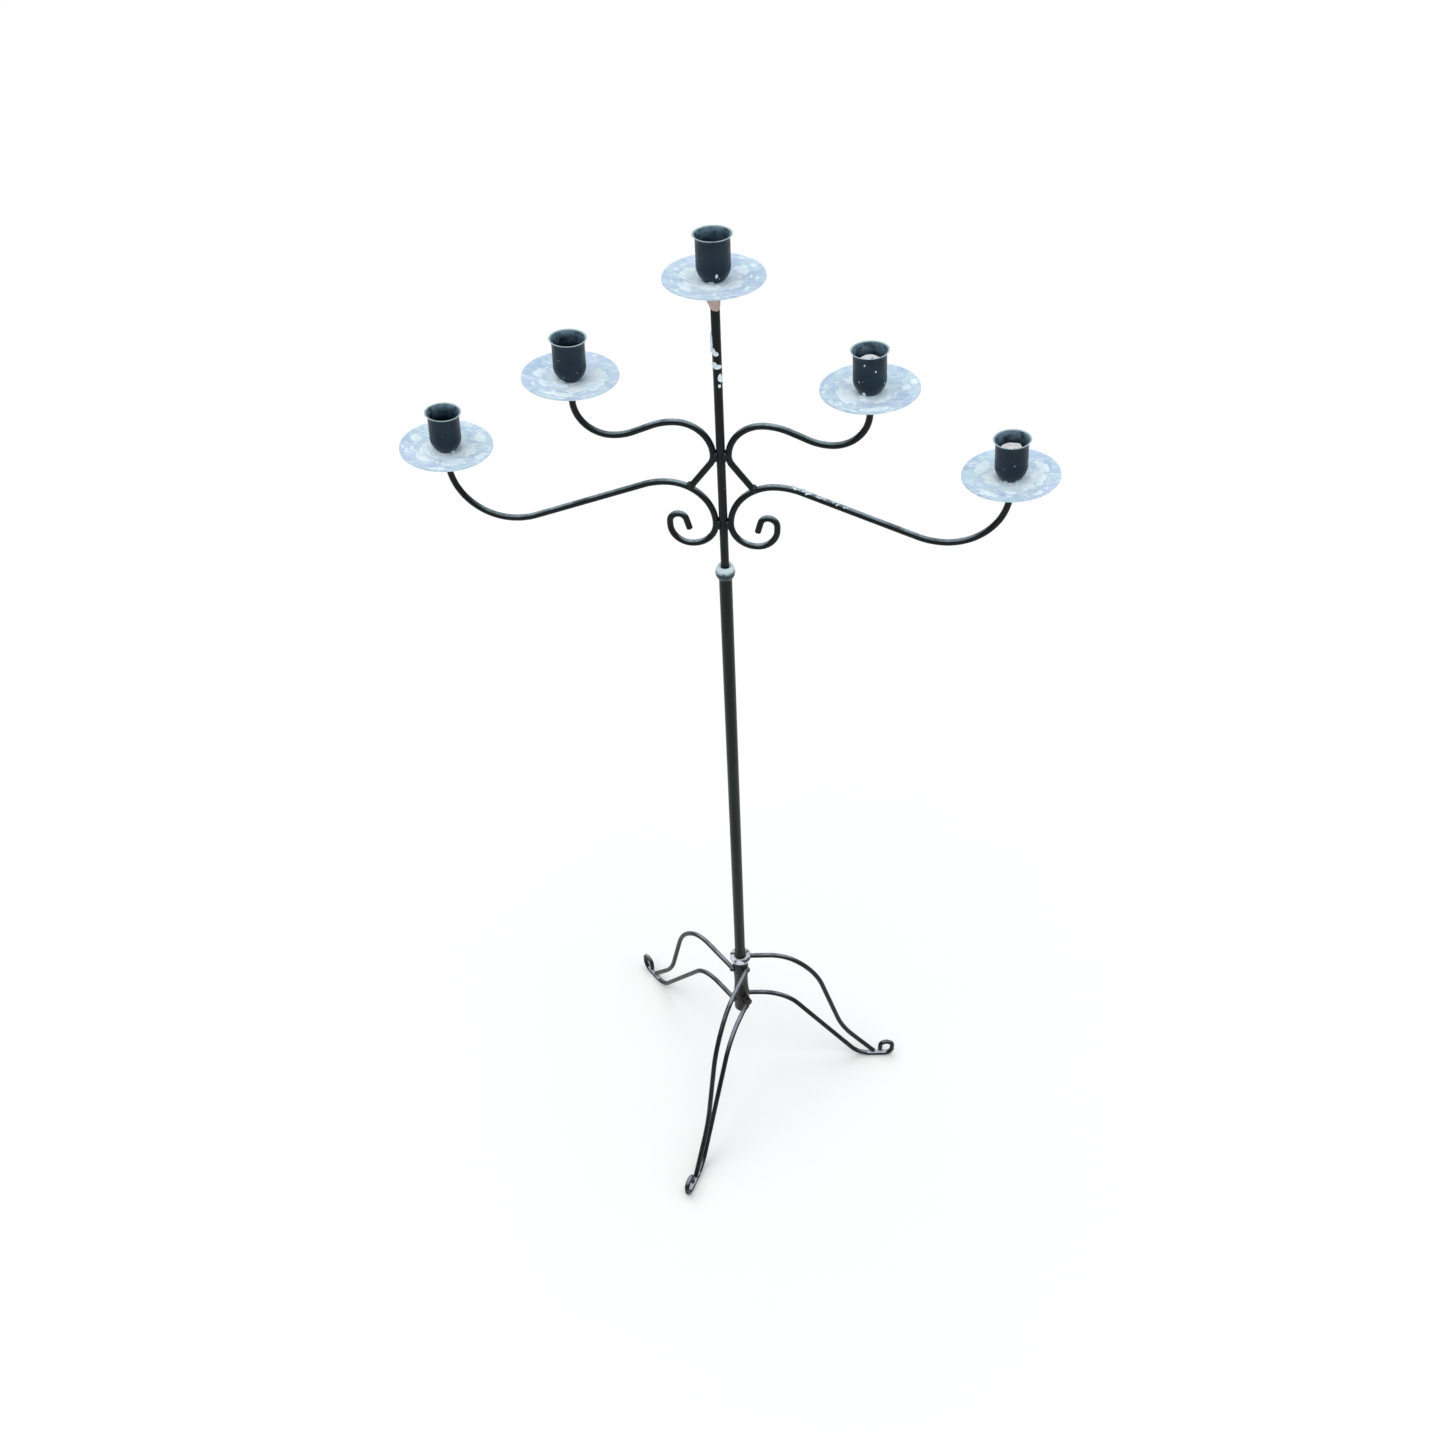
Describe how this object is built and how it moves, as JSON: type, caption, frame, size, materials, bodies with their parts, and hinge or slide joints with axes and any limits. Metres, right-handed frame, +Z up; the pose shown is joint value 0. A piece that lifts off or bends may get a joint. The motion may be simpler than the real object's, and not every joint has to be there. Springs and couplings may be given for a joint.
{
  "type": "candelabrum",
  "caption": "Standing candelabrum: scrolled arms with drip pans and candle cups on a lift-out stem, a turning tube pole and a tripod base with curled toes.",
  "frame": {"origin": "on the pole's axis at floor level", "axes": "+Z up along the pole, +X along the arms towards the right-hand candles, -Y towards the viewer"},
  "size_m": [0.5922, 0.3535, 1.1712],
  "materials": {
    "black_paint": "satin black paint, worn along its top edges",
    "cup_paint": "satin blue-black paint with a bright worn rim",
    "pan_paint": "pale blue-grey film of old wax over black paint",
    "worn_steel": "paint worn off to bright steel",
    "screw_steel": "dull steel",
    "rusty_iron": "rusted",
    "wax": "old white candle wax left on the pans and cups"
  },
  "bodies": {
    "base": {"hub_sleeve": "black_paint", "hub_ring": "worn_steel", "leg_upper_bar_1": "black_paint", "leg_upper_bar_2": "black_paint", "leg_upper_bar_3": "black_paint", "leg_lower_bar_1": "black_paint", "leg_lower_bar_2": "black_paint", "leg_lower_bar_3": "black_paint", "leg_welds": "black_paint", "clamp_nut": "rusty_iron"},
    "clamp": {"clamp_screw": "rusty_iron"},
    "pole": {"pole_tube": "black_paint", "pole_collar": "black_paint", "stem_seat": "black_paint"},
    "candle_section": {"stem": "black_paint", "upper_arm_right": "black_paint", "upper_arm_left": "black_paint", "lower_arm_right": "black_paint", "lower_arm_left": "black_paint", "arm_welds": "black_paint", "drip_pan_top": "pan_paint", "candle_cup_top": "cup_paint", "cup_screw_top": "screw_steel", "drip_pan_upper_left": "pan_paint", "candle_cup_upper_left": "cup_paint", "cup_screw_upper_left": "screw_steel", "drip_pan_upper_right": "pan_paint", "candle_cup_upper_right": "cup_paint", "cup_screw_upper_right": "screw_steel", "drip_pan_lower_left": "pan_paint", "candle_cup_lower_left": "cup_paint", "cup_screw_lower_left": "screw_steel", "drip_pan_lower_right": "pan_paint", "candle_cup_lower_right": "cup_paint", "cup_screw_lower_right": "screw_steel"}
  },
  "joints": [
    {"name": "pole_turn", "type": "hinge", "parent": "base", "child": "pole", "pos_m": [0, 0, 0.19], "axis": [0, 0, 1], "continuous": true},
    {"name": "candle_section_lift", "type": "slide", "parent": "pole", "child": "candle_section", "axis": [0, 0, 1], "range_m": [0, 0.08]},
    {"name": "clamp_screw_turn", "type": "hinge", "parent": "base", "child": "clamp", "pos_m": [0.00771, -0.00919, 0.163], "axis": [0.6428, -0.766, 0], "range_deg": [0, 360]}
  ]
}
